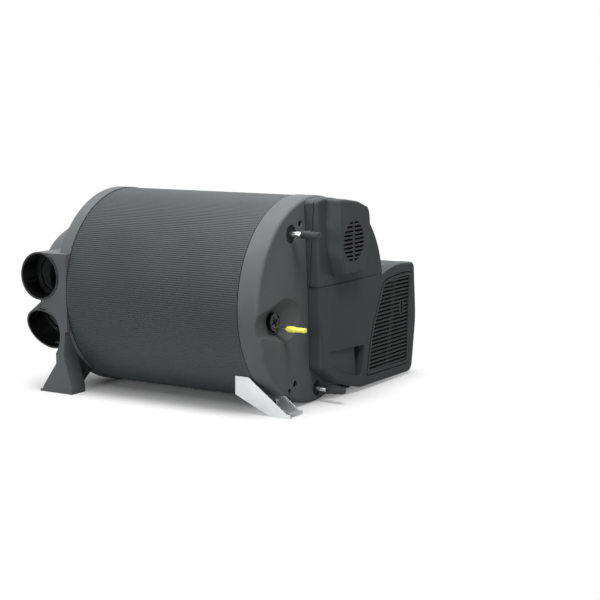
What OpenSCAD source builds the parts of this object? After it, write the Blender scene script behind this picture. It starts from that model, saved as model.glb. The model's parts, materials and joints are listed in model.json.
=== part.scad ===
// Combined warm-air and water heater for a caravan: a ribbed jacket lies on its side between an
// air distributor with two feet and an end cap that carries the electronics and the air intake.
// Millimetres. X runs along the jacket, Y towards the back, Z up, origin on the floor in the middle.

/* [Stand] */
// Gap between the end rings and the floor
floor_gap = 0.5; // [0.5:0.5:12]

/* [Jacket] */
// Outer radius of the jacket over its ribs
jacket_r = 147; // [125:0.5:170]
// Visible length of the jacket
jacket_len = 298; // [260:1:360]
// Thickness of the jacket's sheet
jacket_wall = 1.5; // [1.2:0.1:2.5]
// Number of fine ribs round the jacket
rib_count = 288; // [60:2:300]
// Depth of a rib
rib_depth = 0.6; // [0.3:0.1:0.9]

/* [Ends] */
// How far the end rings stand proud of the jacket
ring_step = 1; // [0.5:0.1:2]
// Width of the ring on the air distributor
ring_w = 20; // [16:1:24]
// Thickness of the rubber seal between a ring and the jacket
seal_t = 1.5; // [0.8:0.1:2.5]
// How far a spigot reaches into the jacket
spigot_len = 12; // [8:1:16]
// Width of the end cap's ring
cap_w = 33; // [30:1:40]
// Radius of the rounding between the cap's ring and its end face
cap_edge_r = 5; // [3:0.5:7]
// Wall of the moulded housings
shell_t = 3; // [2.5:0.25:4]
// Gap left between pieces that are pushed together
fit_gap = 0.3; // [0.2:0.05:0.4]

/* [Air distributor] */
// Step from the ring down to the distributor's dome
dome_step = 16; // [12:1:22]
// How much the dome narrows towards its end
dome_taper = 48; // [30:1:56]
// Length of the dome beyond the ring
dome_len = 90.5; // [80:0.5:100]
// Rounding of the dome's outer edge
dome_edge_r = 16; // [8:1:24]
// Step from the ring down to the flat flanks
flank_step = 2; // [1:0.5:4]

/* [Air outlets] */
// Outer diameter of an outlet
outlet_d = 71; // [70:0.5:74]
// Diameter of the air duct that is pushed into an outlet
duct_d = 65; // [62:0.5:66]
// Depth of a duct socket down to its stop
socket_depth = 34; // [26:1:38]
// Distance of the outlets from the jacket's edge
outlet_x = 51; // [48:0.5:58]
// Height of the upper outlets above the axis
upper_z = 24; // [20:1:30]
// Depth of the lower outlets below the axis
lower_z = 56; // [53:1:62]
// Step from the flank in to the middle of a lower outlet's rim
lower_step = 13; // [10:1:16]
// Downward tilt of the lower outlets
lower_tilt = 26; // [20:1:32]

/* [Feet] */
// Depth of a foot from its flank inwards
foot_depth = 30; // [24:1:36]
// Width of a foot on the floor
foot_w = 61; // [54:1:66]
// Width of the leg at its waist
leg_w = 14.5; // [12:0.5:18]
// Diameter of the fixing holes in feet and brackets
fix_hole_d = 6.5; // [5:0.5:7]

/* [Brackets] */
// Step from the ring's radius in to a bracket's outer flange
bracket_step = 36; // [34:1:40]
// Width of a bracket across its flanges
bracket_w = 35; // [30:1:38]
// Thickness of the bracket's sheet
sheet_t = 2; // [1.5:0.25:2.5]
// Length of a bracket
bracket_len = 89; // [80:1:94]
// Distance between the two fixing holes of a bracket
bracket_hole_gap = 16; // [12:1:18]
// Diameter of the bracket screws
screw_d = 5; // [4:0.5:6]

/* [Covers] */
// Depth of the covers in front of the end face
cover_depth = 21; // [18:0.5:26]
// Wall of the covers
cover_wall = 2.5; // [2:0.25:3]
// Rise of the electronics box above the covers
box_rise = 20.5; // [16:0.5:26]
// Rounding of the covers' edges
cover_edge_r = 4; // [2:0.5:6]
// Height of the seam between the covers above the axis
seam_z = 21; // [18:1:26]
// Gap at the seams between the covers
seam_gap = 0.5; // [0.4:0.1:1]
// Rise of the fan housing's top above the seam
fan_top_rise = 7; // [5:0.5:10]
// How far the fan housing reaches back beyond the ring
fan_reach = 129; // [122:1:136]
// Gap between the fan housing and the floor
fan_lift = 3.5; // [3:0.5:8]
// Depth of the fan housing behind the covers
fan_depth = 91; // [84:1:110]

/* [Intake grille] */
// Number of slats in the intake grille
slat_count = 23; // [14:1:26]
// Thickness of a slat
slat_t = 2; // [1.5:0.1:2.4]
// Tilt of the slats
slat_tilt = 25; // [0:1:35]
// Width of the grille's frame
grille_frame = 6; // [5:0.5:8]
// Depth of the grille's frame
grille_depth = 5; // [4:0.5:7]

/* [Cooling grille] */
// Radius of the round grille on the electronics box
vent_r = 29; // [24:1:30]
// Rows of slots in the round grille
vent_rows = 10; // [7:1:12]
// Height of a slot
vent_slot = 3.2; // [2.4:0.1:3.4]

/* [Circulation fan] */
// Radius of the fan wheel
fan_r = 54; // [46:1:56]
// Width of the fan wheel
fan_w = 38; // [30:1:40]
// Length of a fan blade across the wheel's rim
fan_blade = 12.5; // [10:0.5:15]
// Number of blades on the fan wheel
blade_count = 30; // [16:1:36]
// Distance of the fan's axis behind the ring
fan_offset = 58; // [56:0.5:62]
// Depth of the fan's axis below the jacket's axis
fan_z = 60; // [58:1:66]
// Radius of the fan's motor
fan_motor_r = 26; // [20:1:32]
// Radius of the fan's shaft
fan_shaft_r = 4; // [3:0.25:5]

/* [Burner] */
// Radius of the collar that carries the burner, as a share of the ring's radius
collar_share = 0.514; // [0.5:0.002:0.52]
// Width of the blower wheel
blower_w = 14; // [10:1:16]
// Length of a blower blade
blower_blade = 19.5; // [14:0.5:24]
// Number of blower blades
blower_blades = 16; // [10:1:20]
// Radius of the blower's motor
blower_motor_r = 15; // [12:0.5:16]
// Radius of the blower's shaft
blower_shaft_r = 3; // [2.5:0.25:4]
// Step from the collar in to the tips of the heat exchanger's fins
fin_step = 7; // [6:0.5:10]
// Depth of a fin
fin_depth = 15; // [10:1:18]
// Number of fins on the heat exchanger
fin_count = 28; // [16:1:36]
// Gap between the flame tube and the heat exchanger's bore
flame_gap = 16; // [12:1:20]
// Radial running gap of the shafts
run_gap = 0.05; // [0.02:0.01:0.1]

/* [Water tank] */
// Gap between the water tank and the jacket
tank_gap = 7.5; // [6:0.5:9]
// Gap between the tank and the heat exchanger's fins
tank_bore_gap = 4; // [3:0.5:6]
// Length of the tank
tank_len = 236; // [200:1:240]
// Wall of the tank
tank_wall = 1.2; // [1:0.1:2]

/* [Water and fuel] */
// Diameter of the water pipes
pipe_d = 8; // [7:0.5:12]
// Step from the ring's radius in to the hot water pipe
hot_step = 31; // [28:1:36]
// Step from the ring's radius in to the cold water pipe
cold_step = 19; // [19:1:24]
// Length of a water pipe in front of the end face
pipe_out = 25; // [20:0.5:28]
// Length of a transport plug
plug_len = 28; // [24:1:34]
// Outer diameter of a transport plug
plug_d = 13; // [12.5:0.5:17]
// Distance from the burner's collar out to the fuel pipe
fuel_gap = 13; // [12.5:0.5:16]
// Diameter of the fuel pipe
fuel_d = 5; // [4:0.5:6]
// Length of the fuel cap
fuel_cap_len = 30.5; // [26:0.5:36]
// Diameter of the fuel cap
fuel_cap_d = 8.5; // [8:0.5:10]

/* [Hidden] */
$fn = 64;

// Stations along the jacket, measured from its left edge
ring_x = -seal_t;
dome_x = ring_x - ring_w;
dome_end = dome_x - dome_len;
cap_x = jacket_len + seal_t;
end_x = cap_x + cap_w;
cover_x = end_x + fit_gap;
face_x = cover_x + cover_depth;
box_x = face_x + box_rise;
// Radii and distances from the jacket's axis
ring_r = jacket_r + ring_step;
axis_h = ring_r + floor_gap;
floor_z = -axis_h;
dome_r = ring_r - dome_step;
flank_y = ring_r - flank_step;
lower_y = flank_y - lower_step;
bracket_y = ring_r - bracket_step;
collar_r = ring_r * collar_share;
fin_r = collar_r - fin_step;
fin_root_r = fin_r - fin_depth;
flame_r = fin_root_r - 4 - flame_gap;
blower_r = collar_r / 2;
tank_r = jacket_r - jacket_wall - tank_gap;
tank_in_r = fin_r + tank_bore_gap;
// Places on the end face, by distance from the axis and angle
function polar(r, a) = r * [cos(a), sin(a)];
hot_at = polar(ring_r - hot_step, 122.5);
cold_at = polar(ring_r - cold_step, -87);
fuel_at = polar(collar_r + fuel_gap, 199.4);

// Outline helpers: a corner is [y, z, radius], corners run anticlockwise
function flat2(p) = [p[0], p[1]];
function unit(v) = v / norm(v);
function normal(v) = [-v[1], v[0]];
function turn(u, w) = atan2(u[0] * w[1] - u[1] * w[0], u * w);
function side(p, i) = unit(flat2(p[(i + 1) % len(p)]) - flat2(p[i % len(p)]));
// Moves every side of an outline inwards by d and keeps its roundings concentric
function inset(p, d) = [
  for (i = [0:len(p) - 1])
    let (
      u = side(p, i + len(p) - 1),
      w = side(p, i),
      n = normal(u) + normal(w),
      q = flat2(p[i]) + n * d / (1 + normal(u) * normal(w)),
      r = p[i][2]
    )
      [q[0], q[1], r == 0 ? 0 : turn(u, w) > 0 ? max(r - d, 0.2) : r + d]
];
// Turns an outline's corners into arcs of steps pieces
function rounded(p, steps = 5) = [
  for (i = [0:len(p) - 1])
    let (
      u = side(p, i + len(p) - 1),
      w = side(p, i),
      bend = turn(u, w),
      r = p[i][2] * sign(bend),
      a = atan2(normal(u)[1], normal(u)[0]),
      middle = flat2(p[i]) + (normal(u) + normal(w)) * r / (1 + normal(u) * normal(w))
    )
      for (k = [0:p[i][2] == 0 ? 0 : steps])
        p[i][2] == 0 ? flat2(p[i]) : middle - r * [cos(a + bend * k / steps), sin(a + bend * k / steps)]
];
function arc(middle, r, a0, a1, steps) = [
  for (k = [0:steps])
    let (a = a0 + (a1 - a0) * k / steps)
      middle + r * [cos(a), sin(a)]
];

module place() {
  translate([-mid_x, -mid_y, axis_h]) children();
}
// Turns a profile of [radius, x] about the jacket's axis
module turned(span = 360) {
  rotate([0, 90, 0]) rotate_extrude(angle = span, $fn = 96) children();
}
// Extrudes a [y, z] outline from x0 to x1
module across(x0, x1) {
  translate([x0, 0, 0]) rotate([90, 0, 90]) linear_extrude(x1 - x0) children();
}
// Extrudes an [x, z] outline from y0 back to y1
module along_y(y0, y1) {
  translate([0, y1, 0]) rotate([90, 0, 0]) linear_extrude(y1 - y0) children();
}
module rod(x0, x1, r, at = [0, 0]) {
  translate([x0, at[0], at[1]]) rotate([0, 90, 0]) cylinder(r = r, h = x1 - x0);
}
// A moulded block whose front edge is rounded: outlines are lofted from the foot to the face
module moulded(outline, x0, x1, edge_r, foot = []) {
  steps = 4;
  depth = x1 - x0;
  levels = [
    for (k = [0:steps])
      let (a = 90 * k / steps)
        [edge_r * (1 - cos(a)), depth - edge_r * (1 - sin(a))]
  ];
  rings = concat(
    [[for (q = rounded(len(foot) > 0 ? foot : outline)) [x0, q[0], q[1]]]],
    [for (l = levels) [for (q = rounded(inset(outline, l[0]))) [x0 + l[1], q[0], q[1]]]]
  );
  count = len(rings[0]);
  walls = [
    for (i = [0:len(rings) - 2])
      for (j = [0:count - 1])
        let (a = i * count + j, b = i * count + (j + 1) % count)
          each [[a, a + count, b + count], [a, b + count, b]]
  ];
  last = (len(rings) - 1) * count;
  caps = [[for (j = [0:count - 1]) j], [for (j = [0:count - 1]) last + count - 1 - j]];
  polyhedron(points = [for (ring = rings) each ring], faces = concat(walls, caps), convexity = 6);
}
module both_sides() {
  children();
  mirror([0, 1, 0]) children();
}

// Jacket: a tube of fine ribs that run along it
module jacket() {
  ribs = [
    for (i = [0:2 * rib_count - 1])
      (jacket_r - (i % 2) * rib_depth) * [cos(180 * i / rib_count), sin(180 * i / rib_count)]
  ];
  color("dimgray") place() difference() {
    across(0, jacket_len) polygon(ribs);
    rod(-1, jacket_len + 1, jacket_r - jacket_wall, $fn = 96);
  }
}
spigot_r = jacket_r - jacket_wall - fit_gap;
spigot_wall = 2.5;
module seal(x0) {
  color("black") place() difference() {
    rod(x0, x0 + seal_t, jacket_r - rib_depth);
    rod(x0 - 1, x0 + seal_t + 1, spigot_r + fit_gap);
  }
}
module jacket_seal_left() {
  seal(-seal_t);
}
module jacket_seal_right() {
  seal(jacket_len);
}

// Air distributor: ring, dome, outlets and feet in one moulding
socket_bore = duct_d / 2 + 0.2;
socket_wall = 1.2;
socket_stop = 4;
socket_lip = 1.5;
liner_r = socket_bore + socket_wall + fit_gap;
// The outlets reach in until they meet the dome
outlet_body = 72;
// Puts a part that points along -Z on the axis of a front outlet, with its rim at z = 0
module at_upper() {
  translate([-outlet_x, -flank_y, upper_z]) rotate([-90, 0, 0]) children();
}
module at_lower() {
  translate([-outlet_x, -lower_y, -lower_z]) rotate([lower_tilt - 90, 0, 0]) children();
}
module dome_profile(inner) {
  tip_r = dome_r - dome_taper;
  lean = -atan2(dome_taper, dome_len - dome_edge_r);
  polygon(concat(
    [[0, dome_x], [0, dome_end + inner]],
    arc([tip_r - dome_edge_r, dome_end + dome_edge_r], dome_edge_r - inner, -90, lean, 8),
    [[dome_r - inner, dome_x]]
  ));
}
// Outline of a leg seen from its flank: waist, flare and the toe with its lip
leg_right = ring_x;
leg_left = dome_x + 3;
toe_right = 5;
toe_left = toe_right - foot_w;
toe_h = 9;
lip_h = 3;
waist_z = axis_h - 56.5;
waist_right = ring_x - 8;
fairing_top = upper_z + outlet_d / 2 - 1;
module leg_outline() {
  waist_left = waist_right - leg_w;
  polygon([
    [leg_right, fairing_top], [leg_left, fairing_top], [leg_left, -40],
    [waist_left, -waist_z + 13], [waist_left, -waist_z - 12], [toe_left + 7, floor_z + toe_h],
    [toe_left + 4, floor_z + lip_h], [toe_left, floor_z + lip_h], [toe_left, floor_z],
    [toe_right, floor_z], [toe_right, floor_z + toe_h + 2], [waist_right, -waist_z], [leg_right, -24]
  ]);
}
web_t = 8;
web_y = ring_r - 68;
// Height of the ring's underside at a distance from the axis plane
function ring_z(y) = -sqrt(ring_r * ring_r - y * y);
fix_x = toe_left + 11;
fix_y = flank_y - foot_depth / 2;
module leg() {
  foot_in = -flank_y + foot_depth;
  along_y(-flank_y, foot_in) leg_outline();
  // The web behind the leg rises in a straight arch to the ring
  across(leg_left, leg_left + web_t)
    polygon([
      [foot_in - 2, floor_z], [foot_in, floor_z], [-web_y, ring_z(web_y) + 2.5], [-web_y, 0], [foot_in - 2, 0]
    ]);
  // A rib stiffens the arch
  across(leg_left + web_t, leg_left + web_t + 5)
    polygon([
      [foot_in - 2, floor_z + 14], [foot_in, floor_z + 14],
      [-web_y - 12, ring_z(web_y + 12)], [-web_y - 15, ring_z(web_y + 15) + 1.5]
    ]);
}
module fairing() {
  translate([-outlet_x, -flank_y, -lower_z]) cube([outlet_x + leg_right, 60, fairing_top + lower_z]);
}
module outlet_bodies() {
  at_upper() cylinder(d = outlet_d, h = outlet_body);
  at_lower() cylinder(d = outlet_d, h = outlet_body);
}
module outlet_bore() {
  translate([0, 0, -40]) cylinder(r = outlet_d / 2 + fit_gap, h = 40);
  translate([0, 0, -1]) cylinder(r = liner_r, h = 1 + socket_depth + socket_stop + fit_gap);
  cylinder(r = socket_bore - socket_stop, h = outlet_body + 8);
}
module air_distributor() {
  color("dimgray") place() difference() {
    union() {
      turned() dome_profile(0);
      turned()
        polygon([
          [dome_r - 20, dome_x], [ring_r - 1, dome_x], [ring_r, dome_x + 1], [ring_r, ring_x],
          [dome_r - 20, ring_x]
        ]);
      rod(ring_x - 4, spigot_len, spigot_r);
      both_sides() {
        leg();
        fairing();
        outlet_bodies();
      }
    }
    // Inside of the dome, the ring and the spigot
    turned() dome_profile(shell_t);
    rod(dome_x + shell_t, spigot_len + 1, spigot_r - spigot_wall);
    rod(dome_x - 1, dome_x + shell_t + 1, dome_r - shell_t);
    both_sides() {
      // The flank cuts the ring flat
      translate([dome_end - 20, -flank_y - 40, -lower_z + 30]) cube([120 + dome_len, 40, 2 * ring_r]);
      translate([fix_x, -fix_y, floor_z - 1]) cylinder(d = fix_hole_d, h = 60);
      translate([fix_x, -fix_y, floor_z + toe_h - 2]) cylinder(d = 2.2 * fix_hole_d, h = 60);
      at_upper() outlet_bore();
      at_lower() outlet_bore();
    }
    // The jacket passes the toes
    difference() {
      rod(0, 60, jacket_r + fit_gap);
      rod(-1, 61, spigot_r + fit_gap / 2);
    }
    rod(dome_end - 1, dome_end + shell_t + 1, sensor_r + fit_gap, sensor_at);
  }
}
// Black sockets line the outlets; a duct goes in as far as the stop
module duct_socket() {
  color("black") difference() {
    union() {
      translate([0, 0, -socket_lip]) cylinder(d = outlet_d, h = socket_lip);
      cylinder(r = socket_bore + socket_wall, h = socket_depth + socket_stop);
    }
    translate([0, 0, -socket_lip - 1]) cylinder(r = socket_bore, h = socket_lip + 1 + socket_depth);
    cylinder(r = socket_bore - socket_stop, h = 60);
    // Window of the spring catch that holds the duct
    translate([-6, socket_bore - 2, 8]) cube([12, 6, 7]);
  }
}
module seated_socket() {
  translate([0, 0, -fit_gap / 2]) duct_socket();
}
module duct_socket_front_upper() {
  place() at_upper() seated_socket();
}
module duct_socket_front_lower() {
  place() at_lower() seated_socket();
}
module duct_socket_rear_upper() {
  place() mirror([0, 1, 0]) at_upper() seated_socket();
}
module duct_socket_rear_lower() {
  place() mirror([0, 1, 0]) at_lower() seated_socket();
}

// End cap: ring, end face with its openings, and the collar that carries the burner
end_r = ring_r - cap_edge_r;
pipe_r = pipe_d / 2;
port_r = 13;
motor_seat_r = 27;
collar_wall = 3;
plate_x = jacket_len - 4;
scoop_deep = 16.5;
lug_w = 24;
lug_x = cap_x + cap_w / 2 - lug_w / 2;
lug_y = bracket_y - bracket_w - fit_gap;
// Height of the bracket screws above the floor, in front and at the back
screw_h = [14, 6.5];
stub_x = cap_x + cap_w / 2;
window_y = [ring_r - 58, ring_r + 52];
window_z = [-70, -12];
// Places on the end face grow with the ring
face_unit = ring_r / 148;
scoop_at = polar(ring_r - 66, 193);
// Scoop: a wide mouth that runs out through the cap's edge, with a round floor
module scoop(grow) {
  tall = 30 * face_unit + grow;
  wide = 40 * face_unit + grow;
  hull() {
    translate([end_x - 1, scoop_at[0], scoop_at[1]]) scale([1, wide / tall, 1]) rotate([0, 90, 0])
      cylinder(r = tall, h = 2, $fn = 32);
    rod(end_x - 1, end_x + 1, 14 * face_unit + grow, polar(ring_r, 187.4), $fn = 32);
    rod(end_x - scoop_deep - grow, end_x, 17 + grow, polar(ring_r - 57.3, 194), $fn = 32);
  }
}
// The cap's outer shape, d inside its surface
module cap_body(d) {
  turned()
    polygon(concat(
      [[0, end_x - d], [0, cap_x], [ring_r - d, cap_x]],
      arc([ring_r - cap_edge_r, end_x - cap_edge_r], cap_edge_r - d, 0, 90, 6)
    ));
}
module radial(angle, r0, r1, r) {
  translate([stub_x, 0, 0]) rotate([angle, 0, 0]) translate([0, r0, 0]) rotate([-90, 0, 0])
    cylinder(r = r, h = r1 - r0);
}
module fan_window(x0, x1) {
  translate([x0, window_y[0], window_z[0]])
    cube([x1 - x0, window_y[1] - window_y[0], window_z[1] - window_z[0]]);
}
module end_cap() {
  color("dimgray") place() difference() {
    union() {
      difference() {
        cap_body(0);
        rod(cap_x - 1, end_x - shell_t, spigot_r - spigot_wall);
      }
      difference() {
        rod(jacket_len - spigot_len, cap_x + 1, spigot_r);
        rod(jacket_len - spigot_len - 1, cap_x + 2, spigot_r - spigot_wall);
      }
      // Collar round the burner blower
      difference() {
        rod(plate_x, end_x - 1, collar_r);
        rod(plate_x - 1, end_x, collar_r - collar_wall);
      }
      intersection() {
        scoop(shell_t);
        cap_body(1);
      }
      // Lugs for the brackets
      both_sides()
        translate([lug_x, -lug_y, floor_z + 1.5]) cube([lug_w, 26, ring_z(lug_y) - floor_z + 4]);
    }
    scoop(0);
    // Ports for water, fuel and wiring
    rod(end_x - 40, end_x + 1, port_r, hot_at);
    rod(end_x - 40, end_x + 1, port_r - 2, cold_at);
    rod(end_x - 40, end_x + 1, 4.5, polar(ring_r - 30, 109.8));
    rod(end_x - 10, end_x + 1, 5, polar(ring_r - 23, 244.9));
    rod(end_x - 10, end_x + 1, 4, polar(ring_r - 9.5, 240.8));
    rod(end_x - 40, end_x, fuel_neck_r + fit_gap, fuel_at);
    rod(end_x - 10, end_x + 1, blower_motor_r + fit_gap);
    fan_window(cap_x + 5, end_x - shell_t - 4);
    for (i = [0, 1]) mirror([0, i, 0])
      translate([stub_x, -lug_y - 1, floor_z + screw_h[i]]) rotate([-90, 0, 0])
        cylinder(d = screw_d + 2 * fit_gap, h = 20);
    radial(exhaust_angle, ring_r - 20, ring_r + 20, exhaust_r + fit_gap);
    radial(burner_air_angle, ring_r - 20, ring_r + 20, burner_air_r + fit_gap);
  }
}

// Brackets: sheet-steel channels from the jacket down to the floor
bend_x = 57;
toe_edge = 6;
bracket_h = ring_z(bracket_y) - floor_z + 1;
module bracket_side() {
  polygon([
    [0, floor_z + bracket_h], [20, floor_z + bracket_h], [bracket_len - toe_edge, floor_z + toe_edge],
    [bracket_len, floor_z + toe_edge], [bracket_len, floor_z], [bend_x, floor_z], [0, floor_z + 25]
  ]);
}
module bracket_web() {
  polygon([
    [bracket_len, floor_z], [bracket_len, floor_z + sheet_t], [bend_x + 0.5, floor_z + sheet_t],
    [0, floor_z + 25 + sheet_t], [0, floor_z + 25], [bend_x, floor_z]
  ]);
}
bracket_hole_x = bend_x + 19;
// Channel with its outer flange in front; shift is where its left edge lies along the jacket
module bracket(shift, screw_z) {
  difference() {
    translate([shift, 0, 0]) {
      along_y(-bracket_y, -bracket_y + sheet_t) bracket_side();
      along_y(-bracket_y + bracket_w - sheet_t, -bracket_y + bracket_w) bracket_side();
      along_y(-bracket_y, -bracket_y + bracket_w) bracket_web();
    }
    rod(0, end_x + 20, ring_r + fit_gap, $fn = 96);
    for (s = [-1, 1])
      translate([shift + bracket_hole_x, -bracket_y + bracket_w / 2 + s * bracket_hole_gap / 2, floor_z - 1])
        cylinder(d = fix_hole_d, h = sheet_t + 2);
    translate([stub_x, -bracket_y + bracket_w / 2, screw_z]) rotate([-90, 0, 0])
      cylinder(d = screw_d + 2 * fit_gap, h = bracket_w);
  }
}
bracket_front_x = jacket_len - 27;
bracket_rear_x = end_x - bracket_len - 4;
module bracket_front() {
  color("silver") place() bracket(bracket_front_x, floor_z + screw_h[0]);
}
module bracket_rear() {
  color("silver") place() mirror([0, 1, 0]) bracket(bracket_rear_x, floor_z + screw_h[1]);
}
module bracket_screws() {
  color("silver") place() for (i = [0, 1]) mirror([0, i, 0])
    translate([stub_x, -lug_y, floor_z + screw_h[i]]) rotate([-90, 0, 0]) {
      translate([0, 0, -sheet_t - fit_gap - 3.5]) cylinder(d = 1.7 * screw_d, h = 3.5);
      translate([0, 0, -sheet_t - fit_gap]) cylinder(d = screw_d, h = 18);
    }
}

// Covers: outlines across the end face
cover_left_y = -21;
left_lean = 9;
cover_r = ring_r - 2.5;
// The upper cover swells towards the fan housing
cover_swell = 20.5;
swell_end = 76;
cover_floor_z = axis_h - fan_lift;
cover_back_y = ring_r + fan_reach;
housing_in_y = ring_r - 30;
fan_y = ring_r + fan_offset;
fan_top_z = seam_z + fan_top_rise;
step_y = cover_r + cover_swell - 0.8;
upper_stop = acos((cover_left_y - left_lean) / cover_r);
// Outline of the upper cover above a level, between its upright edge and its swollen circle
function upper_outline(level) =
  let (start = asin(level / (cover_r + cover_swell)))
    concat([[cover_left_y, level, 0]], [
      for (k = [0:20])
        let (
          a = start + (upper_stop - start) * k / 20,
          q = polar(cover_r + cover_swell * max(0, 1 - pow(a / swell_end, 2)), a)
        )
          [q[0], q[1], k == 20 ? 6 : 0]
    ]);
upper_net = upper_outline(seam_z + seam_gap / 2);
// Sides that the lower cover shares with the fan housing, from the floor up to the top
back_side = [
  [cover_back_y - 13, -cover_floor_z, 14], [cover_back_y, -60, 150], [cover_back_y - 8, fan_top_z, 10]
];
function lower_outline(level) = concat(
  [
    [cover_left_y, level, 3], [cover_left_y + 5, -97 * face_unit, 6], [30, -cover_floor_z + 21, 50],
    [100, -cover_floor_z + 2, 60]
  ],
  back_side
);
// Beside the upper cover the lower one rises in a flat arch to the fan housing's top
arch_w = 60;
arch_foot = seam_z - seam_gap / 2;
arch_top = fan_top_z + 2;
arch_r = (pow(arch_w, 2) + pow(arch_top - arch_foot, 2)) / (arch_top - arch_foot) / 2;
arch = arc([step_y + arch_w, arch_top - arch_r], arch_r, 90, 90 + asin(arch_w / arch_r), 8);
lower_net = concat(lower_outline(arch_foot), [for (q = arch) [q[0], q[1], 0]]);
housing_outline = concat([[housing_in_y, fan_top_z, 2], [housing_in_y, -cover_floor_z + 2, 4]], back_side);
// The box above the upper cover holds the control electronics; its sides slope in towards its face
function on_face(p) = [for (q = p) [q[0] * face_unit, q[1] * face_unit, q[2]]];
box_face = on_face([
  [12, 37, 5], [72, 36, 8], [88.5, 104, 30], [85.5, 122, 20], [80.5, 128.8, 7], [52, 138.1, 40],
  [20, 142.7, 80], [-0.5, 143.7, 4], [1, 95, 60], [4.5, 60, 40]
]);
box_foot = on_face([
  [13, 32, 5], [76, 30, 8], [92, 105, 30], [88, 123.5, 20], [81.5, 129.6, 7], [52.5, 138.6, 40],
  [20, 143.5, 80], [-4, 144, 4], [-8.6, 103, 60], [-2.5, 68, 40]
]);
base_rise = 15;
// The parting plane between base and upper cover leans out towards the top
module base_wedge(gap) {
  translate([0, -60, 0]) along_y(0, 260)
    polygon([
      [end_x, seam_z - 1], [cover_x + 3 + gap, seam_z - 1],
      [cover_x + base_rise + gap, cover_r], [end_x, cover_r]
    ]);
}
post_r = 3;
board_y = [-3, 58] * face_unit;
board_z = [44, 124] * face_unit;
board_x = cover_x + 11;
board_t = 1.6;
post_in = 6;
function board_corners() = [
  for (y = [board_y[0] + post_in, board_y[1] - post_in])
    for (z = [board_z[0] + post_in, board_z[1] - post_in])
      [y, z]
];
base_plate = 2;
module cover_base() {
  color("dimgray") place() {
    difference() {
      intersection() {
        across(cover_x, face_x) polygon(rounded(upper_net));
        base_wedge(0);
      }
      across(cover_x + base_plate, face_x) polygon(rounded(inset(upper_net, cover_wall)));
    }
    for (q = board_corners()) rod(cover_x + base_plate - 0.5, board_x, post_r, q);
  }
}
vent_at = [38.5, 82] * face_unit;
module vent_slots() {
  pitch = (2 * vent_r - vent_slot - 2) / (vent_rows - 1);
  bar = 4;
  intersection() {
    rod(box_x - 8, box_x + 1, vent_r, vent_at);
    for (i = [0:vent_rows - 1]) for (s = [0, 1])
      translate([box_x - 8, vent_at[0] + (s == 0 ? -vent_r - bar / 2 : bar / 2),
        vent_at[1] + (i - (vent_rows - 1) / 2) * pitch - vent_slot / 2])
        cube([10, vent_r, vent_slot]);
  }
}
module upper_cover() {
  color("dimgray") place() difference() {
    union() {
      moulded(upper_outline(seam_z - 10), cover_x, face_x, cover_edge_r);
      moulded(box_face, face_x - cover_edge_r, box_x, cover_edge_r, box_foot);
    }
    translate([cover_x - 1, -ring_r, -ring_r])
      cube([cover_depth + 2, 3 * ring_r, ring_r + seam_z + seam_gap / 2]);
    across(cover_x - 1, face_x - cover_wall) polygon(rounded(inset(upper_net, cover_wall)));
    across(face_x - cover_wall - 1, box_x - cover_wall) polygon(rounded(inset(box_face, cover_wall)));
    base_wedge(2 * seam_gap);
    vent_slots();
  }
}

// Lower cover: a tray over the end face and the fan housing
// The grille's top follows the arch, and its left side bends with the cover
grille_top = arch_top - 14.5;
grille_foot = -cover_floor_z + 14.5;
grille_outline = [
  [cover_back_y - 110.5, grille_top - 7, 6], [cover_back_y - 147.5, -62 * face_unit, 120],
  [cover_back_y - 162.5, grille_foot + 2, 5], [cover_back_y - 27, grille_foot, 5],
  [cover_back_y - 19, grille_top - 1.5, 5], [cover_back_y - 49, grille_top, 60],
  [cover_back_y - 87, grille_top - 2.8, 60]
];
grille_seat = 4;
grip_slope = 6;
grip_deep = 17;
grip_y = [2, 94] * face_unit;
grip_outline = on_face([
  [2, -75, 3], [2, -91.5, 6], [38, -109.5, 60], [93, -124.8, 4], [99, -124.8, 3], [106, -99, 80], [108, -79.5, 4]
]);
slot_outline = on_face([
  [88, -80.5, 2], [90.5, -100, 80], [94, -122.5, 1.2], [97.8, -122.5, 1.2], [104.2, -99, 80], [106, -81, 3]
]);
// Grip recess: its floor slopes back from the left to a deep, leaf-shaped slot at the right
module grip(grow) {
  intersection() {
    across(face_x - grip_deep, face_x + 1) polygon(rounded(inset(grip_outline, -grow)));
    translate([0, 0, floor_z]) linear_extrude(axis_h)
      polygon([
        [face_x + 2, grip_y[0] - 15], [face_x - grow, grip_y[0] - grow],
        [face_x - grip_slope - grow, grip_y[1]], [face_x - grip_slope - grow, ring_r], [face_x + 2, ring_r]
      ]);
  }
  across(face_x - grip_deep - grow, face_x - 2) polygon(rounded(inset(slot_outline, -grow)));
}
module lower_cover() {
  color("dimgray") place() difference() {
    union() {
      difference() {
        moulded(lower_outline(fan_top_z + 20), cover_x, face_x, cover_edge_r);
        across(cover_x - 1, face_x + 1)
          polygon(concat(arch, [
            [-ring_r, arch_foot], [-ring_r, ring_r], [step_y + arch_w + 40, ring_r], [step_y + arch_w + 40, arch_top]
          ]));
        across(cover_x - 1, face_x - cover_wall) polygon(rounded(inset(lower_net, cover_wall)));
      }
      // A ledge behind the intake carries the grille
      across(face_x - grille_depth - cover_wall, face_x - 1) polygon(rounded(inset(grille_outline, -3)));
      intersection() {
        grip(cover_wall);
        across(cover_x, face_x) polygon(rounded(inset(lower_net, 1)));
      }
    }
    across(face_x - grille_depth, face_x + 1) polygon(rounded(inset(grille_outline, -fit_gap)));
    across(cover_x - 1, face_x + 1) polygon(rounded(inset(grille_outline, grille_seat)));
    grip(0);
  }
}
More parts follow.
